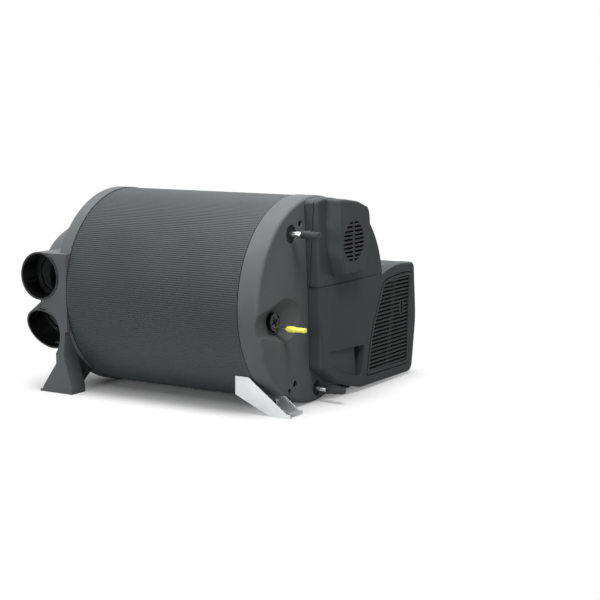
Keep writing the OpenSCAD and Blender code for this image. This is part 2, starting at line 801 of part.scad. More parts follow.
// Intake grille: tilted slats in a frame, with two ribs and a catch
catch_at = [cover_back_y - 49, -38];
module grille_window() {
  polygon(rounded(inset(grille_outline, grille_frame)));
}
module intake_grille() {
  z0 = grille_foot + grille_frame;
  pitch = (grille_top - grille_frame - z0) / slat_count;
  rib_w = 2;
  rib_gap = 6.4;
  bar_top = cover_back_y - 68.5;
  bar_foot = bar_top - 30.5;
  color("black") place() {
    difference() {
      across(face_x - grille_depth + fit_gap, face_x) polygon(rounded(grille_outline));
      across(face_x - grille_depth - 1, face_x + 1) grille_window();
    }
    intersection() {
      across(face_x - grille_depth + fit_gap, face_x - 0.5)
        polygon(rounded(inset(grille_outline, grille_frame - 1)));
      union() {
        for (i = [0:slat_count - 1])
          translate([face_x - grille_depth / 2, housing_in_y - 20, z0 + (i + 0.5) * pitch])
            rotate([0, slat_tilt, 0]) translate([-grille_depth, 0, -slat_t / 2])
              cube([2 * grille_depth, 180, slat_t]);
        // Two slanted ribs stiffen the slats
        for (s = [-rib_gap / 2 - rib_w / 2, rib_gap / 2 - rib_w / 2])
          across(face_x - grille_depth, face_x)
            polygon([
              [bar_foot + s, -cover_floor_z], [bar_foot + s + rib_w, -cover_floor_z],
              [bar_top + s + rib_w, seam_z], [bar_top + s, seam_z]
            ]);
        translate([face_x - grille_depth, catch_at[0] - 6, catch_at[1] - 10]) cube([grille_depth, 12, 20]);
      }
    }
  }
}
// Fan housing at the back of the jacket
housing_x = end_x - fan_depth;
front_plate_t = 2;
module housing_clear(gap) {
  rod(housing_x - 1, end_x + 1, ring_r + gap, $fn = 96);
}
module fan_housing() {
  open_x = end_x - front_plate_t;
  color("dimgray") place() difference() {
    across(housing_x, open_x) polygon(rounded(housing_outline));
    housing_clear(fit_gap);
    difference() {
      across(housing_x + cover_wall, open_x + 1) polygon(rounded(inset(housing_outline, cover_wall)));
      housing_clear(fit_gap + cover_wall);
    }
    fan_window(cap_x + 5, end_x - shell_t - 4);
    fan_screw_holes();
    rod(housing_x - 1, housing_x + cover_wall + 1, grommet_r, grommet_at);
  }
}
// Screws hold the fan's motor to the back wall
fan_screw_r = 2;
module at_fan_screws() {
  for (i = [0:3]) translate([0, fan_y, -fan_z]) rotate([90 * i + 45, 0, 0])
    translate([0, fan_motor_r + 4, 0]) children();
}
module fan_screw_holes() {
  at_fan_screws() rod(housing_x - 1, motor_x + 4, fan_screw_r + fit_gap);
}
module fan_screws() {
  color("silver") place() at_fan_screws() {
    rod(housing_x - 2.2, housing_x, 2 * fan_screw_r);
    rod(housing_x - 1, motor_x + 2.5, fan_screw_r);
  }
}
// Cable grommet in the back wall
grommet_r = 5;
grommet_at = [cover_back_y - 30, -8];
module cable_grommet() {
  inside = housing_x + cover_wall;
  color("black") place() difference() {
    union() {
      rod(housing_x - 2, housing_x - 0.1, grommet_r + 2, grommet_at);
      rod(housing_x - 1, inside + 1, grommet_r - fit_gap / 2, grommet_at);
      rod(inside + 0.1, inside + 2, grommet_r + 1.5, grommet_at);
    }
    rod(housing_x - 3, inside + 3, grommet_r - 2, grommet_at);
  }
}
inlet_r = fan_r - 9;
module fan_front_plate() {
  color("dimgray") place() difference() {
    union() {
      across(end_x - front_plate_t, end_x) polygon(rounded(housing_outline));
      translate([0, fan_y, -fan_z]) rod(end_x - front_plate_t - 3, end_x, inlet_r + 3);
    }
    housing_clear(fit_gap);
    translate([0, fan_y, -fan_z]) rod(end_x - 10, end_x + 1, inlet_r);
  }
}
// Blades of a wheel: curved strips between an inner and an outer radius
blade_t = 1.4;
module blades(count, r0, r1, sweep, t, w) {
  steps = 4;
  function along(k) = r0 + (r1 - r0) * k / steps;
  function bend(k) = sweep * k * k / steps / steps;
  strip = concat(
    [for (k = [0:steps]) polar(along(k), bend(k))],
    [for (k = [steps:-1:0]) polar(along(k), bend(k) + t / along(k) * 180 / PI)]
  );
  for (i = [0:count - 1]) rotate([0, 0, 360 * i / count]) linear_extrude(w) polygon(strip);
}
wheel_gap = 4;
fan_x = end_x - front_plate_t - 3 - wheel_gap - fan_w;
motor_x = housing_x + cover_wall;
motor_end = fan_x - 5;
module fan_wheel() {
  disc_t = 2.5;
  color("black") place() translate([fan_x, fan_y, -fan_z]) rotate([0, 90, 0]) {
    cylinder(r = fan_r, h = disc_t);
    blades(blade_count, fan_r - fan_blade - 0.5, fan_r - 0.5, 24, blade_t, fan_w);
    translate([0, 0, fan_w - disc_t]) difference() {
      cylinder(r = fan_r, h = disc_t);
      translate([0, 0, -1]) cylinder(r = fan_r - 7, h = disc_t + 2);
    }
    cylinder(r = 12, h = 14);
    translate([0, 0, motor_x + 6 - fan_x]) cylinder(r = fan_shaft_r, h = fan_x - motor_x - 5);
  }
}
module fan_motor() {
  axis = [fan_y, -fan_z];
  color("silver") place() difference() {
    union() {
      rod(motor_x, motor_end, fan_motor_r, axis);
      rod(motor_x, motor_x + 3, fan_motor_r + 8, axis);
    }
    rod(motor_x + 4, motor_end + 1, fan_shaft_r + run_gap, axis);
    fan_screw_holes();
  }
}

// Burner: blower, plate, flame tube and finned heat exchanger
burner_plate_t = 4;
burner_hole_r = 24;
blower_x = plate_x + burner_plate_t + 4;
blower_motor_x = blower_x + blower_w + 4;
blower_motor_end = face_x - cover_wall - 2;
module blower_wheel() {
  disc_t = 2;
  color("black") place() translate([blower_x, 0, 0]) rotate([0, 90, 0]) {
    translate([0, 0, blower_w - disc_t]) cylinder(r = blower_r, h = disc_t);
    blades(blower_blades, blower_r - blower_blade - 0.5, blower_r - 0.5, 40, blade_t, blower_w);
    cylinder(r = 7, h = blower_w);
    cylinder(r = blower_shaft_r, h = blower_w + 14);
  }
}
module blower_motor() {
  color("silver") place() difference() {
    union() {
      rod(blower_motor_x, blower_motor_end, blower_motor_r);
      rod(end_x - shell_t - 3, end_x - shell_t, motor_seat_r);
    }
    rod(blower_motor_x - 1, blower_x + blower_w + 15, blower_shaft_r + run_gap);
  }
}
burner_screw_r = collar_r - 10;
module burner_plate() {
  color("silver") place() difference() {
    rod(plate_x - burner_plate_t, plate_x, collar_r);
    rod(plate_x - burner_plate_t - 1, plate_x + 1, burner_hole_r);
  }
}
module burner_screws() {
  color("silver") place() for (i = [0:5])
    rotate([60 * i + 30, 0, 0]) rod(plate_x, plate_x + 3.5, 4, [burner_screw_r, 0]);
}
module flame_tube() {
  x0 = 110;
  x1 = plate_x - burner_plate_t;
  color("darkgray") place() difference() {
    rod(x0, x1, flame_r);
    rod(x0 + 2, x1 + 1, flame_r - 1.5);
    for (row = [0:2]) for (i = [0:7])
      translate([x0 + 18 + 14 * row, 0, 0]) rotate([45 * i + 22.5 * (row % 2), 0, 0])
        cylinder(r = 3, h = flame_r + 5);
  }
}
fin_t = 3;
module heat_exchanger() {
  x0 = tank_x + 8;
  x1 = plate_x - burner_plate_t;
  fins = [
    for (i = [0:fin_count - 1])
      let (a = 360 * i / fin_count, h = fin_t / fin_root_r * 90 / PI, g = fin_t / fin_r * 70 / PI)
        each [
          fin_root_r * [cos(a - h), sin(a - h)], fin_r * [cos(a - g), sin(a - g)],
          fin_r * [cos(a + g), sin(a + g)], fin_root_r * [cos(a + h), sin(a + h)]
        ]
  ];
  color("silver") place() difference() {
    union() {
      across(x0, x1 - 20) polygon(fins);
      rod(x1 - 21, x1, fin_root_r - 0.5);
      rod(x1 - 5, x1, fin_r);
    }
    rod(x0 + 4, x1 + 1, fin_root_r - 4);
  }
}
module overheat_switch() {
  at = [collar_r - 24, 0];
  color("black") place() rotate([150, 0, 0]) {
    rod(plate_x + 0.05, plate_x + 6, 8, at);
    rod(plate_x + 5, plate_x + 11, 5, at);
  }
}

// Water tank: a ring-shaped vessel round the heat exchanger
tank_x = 26;
tank_end = tank_x + tank_len;
module tank_profile(inner) {
  c = 10 - inner / 2;
  polygon([
    [tank_in_r + inner, tank_x + inner + c], [tank_in_r + inner + c, tank_x + inner],
    [tank_r - inner - c, tank_x + inner], [tank_r - inner, tank_x + inner + c],
    [tank_r - inner, tank_end - inner - c], [tank_r - inner - c, tank_end - inner],
    [tank_in_r + inner + c, tank_end - inner], [tank_in_r + inner, tank_end - inner - c]
  ]);
}
module water_tank() {
  color("silver") place() difference() {
    turned() tank_profile(0);
    turned() tank_profile(tank_wall);
    rod(tank_end - 20, tank_end + 1, pipe_r + run_gap, hot_at);
    rod(tank_end - 20, tank_end + 1, pipe_r + run_gap, cold_at);
  }
}
module tank_spacers() {
  color("black") place() for (x = [tank_x + 34, tank_end - 50]) for (i = [0:5])
    rotate([60 * i + 20, 0, 0]) difference() {
      turned(20) polygon([
        [tank_r + fit_gap, x], [jacket_r - jacket_wall - fit_gap, x],
        [jacket_r - jacket_wall - fit_gap, x + 16], [tank_r + fit_gap, x + 16]
      ]);
    }
}

// Water and fuel connections
bore_r = pipe_r - 1;
module water_pipe(at) {
  difference() {
    rod(tank_end - 8, end_x + pipe_out, pipe_r, at);
    rod(tank_end - 9, end_x + pipe_out + 1, bore_r, at);
  }
}
module hot_pipe() {
  color("silver") place() water_pipe(hot_at);
}
module cold_pipe() {
  color("silver") place() water_pipe(cold_at);
}
plug_hold = 8;
// A plug widens from the pipe to a grip that is flattened at its tip
module plug(at) {
  x0 = end_x + pipe_out - plug_hold;
  neck_d = pipe_d + 2.4;
  translate([x0, at[0], at[1]]) rotate([0, 90, 0]) difference() {
    union() {
      cylinder(d1 = neck_d, d2 = plug_d, h = 12);
      translate([0, 0, 12]) cylinder(d = plug_d, h = plug_len - 14);
      translate([0, 0, plug_len - 2]) cylinder(d1 = plug_d, d2 = plug_d - 2.5, h = 2);
    }
    translate([0, 0, -1]) cylinder(r = pipe_r + run_gap, h = plug_hold + 1 + fit_gap);
    for (s = [-1, 1])
      translate([s * plug_d / 2 - 2.2, -plug_d, plug_len - 13]) cube([4.4, 2 * plug_d, 20]);
  }
}
module hot_plug() {
  color("dimgray") place() plug(hot_at);
}
module cold_plug() {
  color("dimgray") place() plug(cold_at);
}
// Rubber rings close the ports round the pipes
module pipe_grommet(at, r) {
  x0 = end_x - shell_t;
  difference() {
    union() {
      rod(x0 - 2, x0 - fit_gap / 2, r + 2, at);
      rod(x0 - 1, x0 + 1, r - fit_gap, at);
    }
    rod(x0 - 3, x0 + 2, pipe_r + fit_gap / 2, at);
  }
}
module hot_grommet() {
  color("black") place() pipe_grommet(hot_at, port_r);
}
module cold_grommet() {
  color("black") place() pipe_grommet(cold_at, port_r - 2);
}
fuel_r = fuel_d / 2;
scoop_floor = end_x - scoop_deep;
fuel_out = end_x + 12;
fuel_neck_r = 7;
// The fitting's head sits beside the pipe, which leaves through a notch in its rim
head_r = 12.3;
head_h = 6.5;
head_at = fuel_at + [-6, 9];
module fuel_fitting() {
  wall_x = scoop_floor - shell_t;
  color("black") place() difference() {
    union() {
      rod(wall_x - 5, wall_x - fit_gap, 11, fuel_at);
      rod(wall_x - 1, scoop_floor + head_h - 1, fuel_neck_r, fuel_at);
      rod(scoop_floor + fit_gap / 2, scoop_floor + head_h, head_r, head_at);
    }
    rod(scoop_floor - 20, scoop_floor + head_h + 1, fuel_r + run_gap, fuel_at);
    // Cross-shaped key in the head
    for (a = [20, 110])
      translate([scoop_floor + head_h - 2.5, head_at[0], head_at[1]]) rotate([a, 0, 0])
        translate([0, -7.5, -1.3]) cube([5, 15, 2.6]);
  }
}
module fuel_pipe() {
  color("silver") place() difference() {
    rod(scoop_floor - 24, fuel_out, fuel_r, fuel_at);
    rod(scoop_floor - 25, fuel_out + 1, fuel_r - 1, fuel_at);
  }
}
fuel_hold = 6;
// The cap has a thick grip and a slimmer tip
module fuel_cap() {
  grip_len = 0.42 * fuel_cap_len;
  color("yellow") place() translate([fuel_out - fuel_hold, fuel_at[0], fuel_at[1]]) rotate([0, 90, 0])
    difference() {
      union() {
        cylinder(d1 = fuel_cap_d - 2, d2 = fuel_cap_d, h = 3);
        translate([0, 0, 3]) cylinder(d = fuel_cap_d, h = grip_len - 3);
        cylinder(d = fuel_cap_d - 1.6, h = fuel_cap_len - 0.8);
        cylinder(d = fuel_cap_d - 2.8, h = fuel_cap_len);
      }
      translate([0, 0, -1]) cylinder(r = fuel_r + run_gap, h = fuel_hold + 1 + fit_gap);
    }
}

// Control electronics on the cover base
module circuit_board() {
  color("green") place() difference() {
    translate([board_x, board_y[0], board_z[0]])
      cube([board_t, board_y[1] - board_y[0], board_z[1] - board_z[0]]);
    for (q = board_corners()) rod(board_x - 1, board_x + 3, 1.6, q);
  }
}
module board_parts() {
  top = board_x + board_t;
  w = board_y[1] - board_y[0];
  h = board_z[1] - board_z[0];
  relay = [11, 0.25 * w, 0.2 * h];
  color("black") place() translate([top, board_y[0], board_z[0]]) {
    // Plug strip, two relays, two capacitors and the processor
    translate([0, 0.36 * w, 0.08 * h]) cube([9, 0.5 * w, 0.12 * h]);
    for (k = [0.36, 0.66]) translate([0, k * w, 0.3 * h]) cube(relay);
    for (k = [0.5, 0.76]) rod(0, 16, 0.1 * w, [k * w, 0.68 * h]);
    translate([0, 0.06 * w, 0.38 * h]) cube([2, 0.23 * w, 0.17 * h]);
  }
}
sensor_r = 4;
sensor_flange = 2;
sensor_at = [0, 40];
module air_sensor() {
  color("black") place() {
    rod(dome_end - sensor_flange, dome_end - 0.1, sensor_r + 4, sensor_at);
    rod(dome_end - 0.2, dome_end + 24, sensor_r, sensor_at);
  }
}
exhaust_r = 12;
exhaust_angle = 40;
burner_air_r = 13;
burner_air_angle = 20;
stub_out = 26;
stub_in = 12;
module radial_stub(angle, r) {
  difference() {
    union() {
      radial(angle, ring_r - stub_in, ring_r + stub_out, r);
      radial(angle, ring_r + stub_out - 4, ring_r + stub_out - 1, r + 1);
    }
    radial(angle, ring_r - stub_in - 1, ring_r + stub_out + 1, r - 1.2);
  }
}
module exhaust_stub() {
  color("silver") place() radial_stub(exhaust_angle, exhaust_r);
}
module burner_air_stub() {
  color("black") place() radial_stub(burner_air_angle, burner_air_r);
}

// The frame's middle lies half way between the outermost pieces
rim_out = socket_lip + fit_gap / 2;
left_end = dome_end - sensor_flange;
right_end = max(box_x, end_x + pipe_out - plug_hold + plug_len);
front_end = max(flank_y + rim_out, lower_y + rim_out * cos(lower_tilt) + outlet_d / 2 * sin(lower_tilt));
back_end = max([for (q = rounded(lower_net)) q[0]]);
mid_x = (left_end + right_end) / 2;
mid_y = (back_end - front_end) / 2;

jacket();
jacket_seal_left();
jacket_seal_right();
air_distributor();
duct_socket_front_upper();
duct_socket_front_lower();
duct_socket_rear_upper();
duct_socket_rear_lower();
end_cap();
bracket_front();
bracket_rear();
bracket_screws();
cover_base();
upper_cover();
lower_cover();
fan_screws();
intake_grille();
cable_grommet();
fan_housing();
fan_front_plate();
fan_wheel();
fan_motor();
blower_wheel();
blower_motor();
burner_plate();
burner_screws();
flame_tube();
heat_exchanger();
overheat_switch();
water_tank();
tank_spacers();
hot_pipe();
cold_pipe();
hot_plug();
cold_plug();
hot_grommet();
cold_grommet();
fuel_fitting();
fuel_pipe();
fuel_cap();
circuit_board();
board_parts();
air_sensor();
exhaust_stub();
burner_air_stub();
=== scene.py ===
# %% [markdown]
# # A caravan heater, dressed step by step
# The heater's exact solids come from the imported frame. This lesson gives them
# their surfaces, swaps a few of them for finer meshes, and sets up a small studio.
# Every piece stays in the frame's own place, in metres.

# %% Load the frame
import json
import math

import bmesh
import bpy
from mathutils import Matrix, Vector


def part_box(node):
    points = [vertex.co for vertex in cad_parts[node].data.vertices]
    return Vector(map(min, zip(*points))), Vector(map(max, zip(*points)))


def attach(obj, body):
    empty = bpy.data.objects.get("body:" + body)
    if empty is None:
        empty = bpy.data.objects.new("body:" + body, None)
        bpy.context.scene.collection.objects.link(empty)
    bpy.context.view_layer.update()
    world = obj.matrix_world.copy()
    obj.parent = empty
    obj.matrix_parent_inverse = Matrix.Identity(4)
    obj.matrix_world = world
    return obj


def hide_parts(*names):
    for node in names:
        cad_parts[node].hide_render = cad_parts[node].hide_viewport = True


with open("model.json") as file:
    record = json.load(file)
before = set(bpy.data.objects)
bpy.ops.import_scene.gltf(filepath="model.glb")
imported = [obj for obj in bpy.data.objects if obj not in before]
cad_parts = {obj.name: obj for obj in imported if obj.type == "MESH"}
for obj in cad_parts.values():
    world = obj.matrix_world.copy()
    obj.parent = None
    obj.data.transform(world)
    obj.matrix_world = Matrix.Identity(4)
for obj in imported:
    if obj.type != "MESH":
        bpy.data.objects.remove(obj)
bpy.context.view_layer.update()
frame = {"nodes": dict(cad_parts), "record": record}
nodes = frame["nodes"]
scene = bpy.context.scene

# %% [markdown]
# ## The camera
# The photograph shows the heater from the right of its front, a little above its
# middle. A lens of about 85 mm keeps the perspective mild. The camera looks at a
# point near the end cap, because the heater fills only part of the picture.

# %% Camera
CAMERA_AT = Vector((1.22885, -1.78126, 0.4443))
LOOKS_AT = Vector((0.17605, -0.06296, 0.1460))
LENS_MM, SENSOR_MM = 85.54, 36.0
FARTHEST_M = 20.0


def put(name, data):
    """Makes an object of the given data and links it to the scene."""
    made = bpy.data.objects.new(name, data)
    scene.collection.objects.link(made)
    return made


def aim_at(thing, spot, target):
    """Stands a camera or a lamp on a spot and turns it to a target."""
    thing.location = spot
    thing.rotation_euler = (Vector(target) - Vector(spot)).to_track_quat("-Z", "Y").to_euler()


camera_data = bpy.data.cameras.new("camera")
camera_data.lens = LENS_MM
camera_data.sensor_width = SENSOR_MM
camera_data.clip_end = FARTHEST_M
camera = put("camera", camera_data)
aim_at(camera, CAMERA_AT, LOOKS_AT)
scene.camera = camera
print("camera stands", round((LOOKS_AT - CAMERA_AT).length, 2), "m from the end cap")

# %% [markdown]
# ## Small helpers for finishes
# A finish is a Principled shader with noise behind it. Noise reads Object
# coordinates, so a grain has the same size in millimetres on every piece. Each
# helper adds one node or two, so that a finish reads like a short recipe.

# %% Colour and coordinates


def srgb(red, green, blue):
    """Turns a colour as a screen shows it into the linear one that a shader needs."""
    def linear(c):
        c = c / 255.0
        return c / 12.92 if c <= 0.04045 else ((c + 0.055) / 1.055) ** 2.4
    return (linear(red), linear(green), linear(blue))


def shade(colour, factor):
    """A darker or lighter colour, never brighter than white."""
    return tuple(min(1.0, c * factor) for c in colour)


def start_finish(name, colour, roughness, metallic=0.0):
    """A new material with its shader's plain values set."""
    finish = bpy.data.materials.new(name)
    finish.use_nodes = True
    tree = finish.node_tree
    shader = tree.nodes["Principled BSDF"]
    shader.inputs["Base Color"].default_value = (*colour, 1.0)
    shader.inputs["Roughness"].default_value = roughness
    shader.inputs["Metallic"].default_value = metallic
    finish.diffuse_color = (*colour, 1.0)
    return finish, tree, shader


def coords(tree, stretch=(1.0, 1.0, 1.0)):
    """Object coordinates in metres, stretched if asked."""
    place = tree.nodes.new("ShaderNodeTexCoord")
    mapping = tree.nodes.new("ShaderNodeMapping")
    mapping.inputs["Scale"].default_value = stretch
    tree.links.new(place.outputs["Object"], mapping.inputs["Vector"])
    return mapping.outputs["Vector"]


print("bright zinc as a shader reads it:", [round(c, 3) for c in srgb(204, 206, 207)])

# %% Noise, colour mix and bump


def noise(tree, vector, scale, detail=2.0):
    """Clouds from zero to one, so many to a metre."""
    cloud = tree.nodes.new("ShaderNodeTexNoise")
    cloud.inputs["Scale"].default_value = scale
    cloud.inputs["Detail"].default_value = detail
    tree.links.new(vector, cloud.inputs["Vector"])
    return cloud.outputs["Fac"]


def spread(tree, value, low, high, start=0.3, end=0.7):
    """Maps the span from start to end onto the one from low to high."""
    stretch = tree.nodes.new("ShaderNodeMapRange")
    stretch.inputs["From Min"].default_value = start
    stretch.inputs["From Max"].default_value = end
    stretch.inputs["To Min"].default_value = low
    stretch.inputs["To Max"].default_value = high
    tree.links.new(value, stretch.inputs["Value"])
    return stretch.outputs["Result"]


def two_tone(tree, shader, value, dark, light):
    """Colours the shader between two tones by a value from zero to one."""
    mix = tree.nodes.new("ShaderNodeMix")
    mix.data_type = "RGBA"
    mix.inputs["A"].default_value = (*dark, 1.0)
    mix.inputs["B"].default_value = (*light, 1.0)
    tree.links.new(value, mix.inputs["Factor"])
    tree.links.new(mix.outputs["Result"], shader.inputs["Base Color"])


def emboss(tree, shader, value, height):
    """Lets a value lift the surface by up to a height in metres."""
    bump = tree.nodes.new("ShaderNodeBump")
    bump.inputs["Distance"].default_value = height
    bump.inputs["Strength"].default_value = 1.0
    tree.links.new(value, bump.inputs["Height"])
    tree.links.new(bump.outputs["Normal"], shader.inputs["Normal"])


print("noise, mix and bump helpers ready")

# %% [markdown]
# ## Plastic and metal
# Moulded plastic and powder coat have a fine grain, and their colour and shine
# change a little over a hand's breadth. Rolled or turned metal has fine lines along
# the way it was worked, so its noise is stretched along that way.

# %% Two kinds of finish
# Clouds to a metre, and how far they move the roughness either way
PLASTIC_CLOUDS, PLASTIC_SWING = 14.0, 0.05
METAL_CLOUDS, METAL_SWING = 25.0, 0.08
METAL_DULL, METAL_CLEAN = 0.88, 1.05  # times the metal's own colour


def moulded(name, colour, roughness, grain=0.00006, grain_scale=1500.0, uneven=0.10, gloss=0.22):
    """Moulded plastic or powder coat: a fine grain and slightly uneven colour."""
    finish, tree, shader = start_finish(name, colour, roughness)
    shader.inputs["Specular IOR Level"].default_value = gloss
    place = coords(tree)
    broad = noise(tree, place, PLASTIC_CLOUDS, detail=3.0)
    fine = noise(tree, place, grain_scale)
    darker, lighter = shade(colour, 1.0 - uneven), shade(colour, 1.0 + uneven)
    two_tone(tree, shader, spread(tree, broad, 0.0, 1.0), darker, lighter)
    rough = spread(tree, broad, roughness - PLASTIC_SWING, roughness + PLASTIC_SWING)
    tree.links.new(rough, shader.inputs["Roughness"])
    emboss(tree, shader, fine, grain)
    return finish


def metal(name, colour, roughness, brushed=(1.0, 1.0, 1.0), scale=500.0, scratch=0.00002):
    """Metal: noise stretched along the way it was rolled or brushed."""
    finish, tree, shader = start_finish(name, colour, roughness, metallic=1.0)
    lines = noise(tree, coords(tree, brushed), scale, detail=3.0)
    cloud = noise(tree, coords(tree), METAL_CLOUDS, detail=3.0)
    dull, clean = shade(colour, METAL_DULL), shade(colour, METAL_CLEAN)
    two_tone(tree, shader, spread(tree, cloud, 0.0, 1.0), dull, clean)
    rough = spread(tree, lines, roughness - METAL_SWING, roughness + METAL_SWING)
    tree.links.new(rough, shader.inputs["Roughness"])
    emboss(tree, shader, lines, scratch)
    return finish


print("plastic and metal ready")

# %% [markdown]
# ## The finishes
# The jacket is anthracite paint. The distributor and the cap are grained
# plastic of a lighter grey, the covers a darker one. The brackets are bright zinc.
# The fuel fitting is glossier than its slot's other pieces, so it has its own finish.

# %% Finishes
FINISHES = {
    "jacket_anthracite": moulded("anthracite_paint", srgb(62, 66, 68), 0.42, grain=0.00002,
                                 grain_scale=2500.0, uneven=0.05, gloss=0.30),
    "housing_grey": moulded("grained_grey", srgb(98, 100, 101), 0.50, gloss=0.06),
    "cover_dark": moulded("grained_charcoal", srgb(70, 73, 74), 0.46, gloss=0.06),
    "seal_black": moulded("seal_rubber", srgb(22, 22, 22), 0.70, 0.00004, 900.0),
    "socket_black": moulded("glossy_black", srgb(26, 27, 27), 0.14, 0.00001, 600.0, gloss=0.5),
    "grille_black": moulded("satin_black", srgb(52, 54, 55), 0.42, gloss=0.1),
    "bracket_steel": metal("bright_zinc", srgb(204, 206, 207), 0.42, (1.0, 12.0, 12.0), 260.0),
    "screw_steel": metal("screw_zinc", srgb(190, 192, 194), 0.30),
    "motor_steel": metal("motor_can", srgb(176, 178, 182), 0.34, (12.0, 1.0, 1.0)),
    "stainless": metal("stainless_sheet", srgb(200, 200, 200), 0.30, (1.0, 14.0, 14.0)),
    "cast_aluminium": metal("cast_aluminium", srgb(196, 198, 200), 0.52, scale=900.0,
                            scratch=0.0001),
    "pipe_bright": metal("bright_pipe", srgb(204, 206, 208), 0.20, (14.0, 1.0, 1.0)),
    "plug_grey": moulded("plug_rubber", srgb(54, 56, 58), 0.55),
    "fuel_yellow": moulded("signal_yellow", srgb(255, 251, 104), 0.32, 0.00003, 900.0,
                           uneven=0.02, gloss=0.4),
    "board_green": moulded("board_green", srgb(24, 92, 52), 0.35, 0.00003, 400.0),
    "parts_black": moulded("parts_black", srgb(28, 28, 30), 0.40),
}
OWN_FINISH = {
    "fuel_fitting": moulded("fitting_black", srgb(14, 14, 14), 0.16, 0.00001, 600.0, gloss=0.3),
}
SLOT_OF = {part["node"]: part["material_slot"] for part in frame["record"]["subparts"]}


def finish_of(node):
    """A node's own finish if it has one, else its slot's."""
    return OWN_FINISH.get(node, FINISHES[SLOT_OF[node]])


for node in SLOT_OF:
    for held in nodes[node].material_slots:
        held.material = finish_of(node)
print("finishes:", len(FINISHES))

# %% [markdown]
# ## Seating a piece
# A new piece takes the place of a solid: it rides on the same body, hides the node
# and takes the finish of the node's material slot. Modifiers are turned into plain
# meshes first, so what is seated is exactly what is seen.

# %% Seating helpers
SHARP_DEG = 38.0
BEVEL_STEPS = 2
BODY_OF = {
    node: body for body, held in frame["record"]["behaviour"]["bodies"].items() for node in held
}


def smooth(mesh, sharp_deg=SHARP_DEG):
    """Shades a mesh smooth, but keeps the edges that are sharper than the angle."""
    mesh.polygons.foreach_set("use_smooth", [True] * len(mesh.polygons))
    mesh.set_sharp_from_angle(angle=math.radians(sharp_deg))


def settle(piece, node):
    """Seats a finished piece: it replaces the node and takes over its body and its finish."""
    piece.data.materials.clear()
    piece.data.materials.append(finish_of(node))
    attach(piece, BODY_OF[node])
    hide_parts(node)
    return piece


def plain_mesh(piece, name):
    """Turns an object with modifiers into a plain mesh object of the given name."""
    seen = piece.evaluated_get(bpy.context.evaluated_depsgraph_get())
    mesh = bpy.data.meshes.new_from_object(seen)
    bpy.data.objects.remove(piece)
    mesh.name = name
    return put(name, mesh)


def round_edges(piece, width, sharp_deg):
    """Adds a narrow bevel on every edge that is sharper than the angle."""
    bevel = piece.modifiers.new("edges", "BEVEL")
    bevel.width = width
    bevel.segments = BEVEL_STEPS
    bevel.limit_method = "ANGLE"
    bevel.angle_limit = math.radians(sharp_deg)


print("bodies:", sorted(set(BODY_OF.values())))

# %% [markdown]
# ## Dressing a solid
# The frame's solids arrive as loose flat triangles. Real mouldings have softly
# broken edges that catch the light. For each visible solid a copy is merged, its
# flat areas are joined, its sharp edges get a narrow bevel, and curved faces are
# shaded smooth. A bevel modifier is as narrow as the tightest spot of a mesh, so on
# the covers only the edges with room for it are bevelled. Weighted normals keep the
# large flat faces flat. The copy stands for the solid and rides on the same body.

# %% Edges with room for a bevel
ROOM = 2.2  # times the bevel's width
STRAIGHT_ON = -0.7  # a cosine: an edge beyond the corner that hardly changes its way


def has_room(edge, corner, width):
    """True if no edge that leads sideways from this corner is too short for the bevel."""
    along = (edge.other_vert(corner).co - corner.co).normalized()
    for other in corner.link_edges:
        away = other.other_vert(corner).co - corner.co
        goes_on = away.normalized().dot(along) < STRAIGHT_ON
        if other is not edge and not goes_on and away.length < ROOM * width:
            return False
    return True


def roomy_edges(shell, width):
    """The outer sharp edges that have room for a bevel at both of their ends."""
    sharp = math.radians(SHARP_DEG)
    chosen = []
    for edge in shell.edges:
        outer = len(edge.link_faces) == 2 and edge.is_convex and edge.calc_face_angle() > sharp
        if outer and all(has_room(edge, corner, width) for corner in edge.verts):
            chosen.append(edge)
    return chosen


print("a bevel needs", ROOM, "times its width beside it")

# %% Dressing helper
WELD_M, FLAT_DEG = 2e-6, 0.3
COVERS = ("cover_base", "upper_cover", "lower_cover", "fan_housing", "end_cap")
TURNED = (
    "hot_pipe", "cold_pipe", "fuel_pipe", "fuel_cap", "fuel_fitting", "hot_plug", "cold_plug",
)


def merged(node):
    """A merged copy of a solid, its flat areas joined."""
    shell = bmesh.new()
    shell.from_mesh(nodes[node].data)
    bmesh.ops.remove_doubles(shell, verts=shell.verts, dist=WELD_M)
    flat = math.radians(FLAT_DEG)
    bmesh.ops.dissolve_limit(shell, angle_limit=flat, verts=shell.verts, edges=shell.edges)
    return shell


def dress(node, edge_mm, reworked=None):
    """Copies a solid, or takes its reworked copy, rounds its sharp edges and smooths it."""
    mesh = bpy.data.meshes.new(node + "_raw")
    shell = reworked or merged(node)
    width = edge_mm / 1000.0
    if node in COVERS:
        bmesh.ops.bevel(
            shell, geom=roomy_edges(shell, width), offset=width, segments=BEVEL_STEPS,
            profile=0.5, affect="EDGES", clamp_overlap=False, material=-1,
        )
        bmesh.ops.dissolve_degenerate(shell, dist=WELD_M, edges=shell.edges)
    shell.to_mesh(mesh)
    shell.free()
    piece = put(node + "_raw", mesh)
    if node not in COVERS and width > 0:
        round_edges(piece, width, SHARP_DEG)
    made = plain_mesh(piece, node + "_dressed")
    smooth(made.data)
    if node not in TURNED:
        flats = made.modifiers.new("flats", "WEIGHTED_NORMAL")
        flats.keep_sharp = True
        made = plain_mesh(made, node + "_dressed")
    print(node, "has", len(made.data.polygons), "faces")
    return settle(made, node)


print("covers:", len(COVERS), "turned pieces:", len(TURNED))

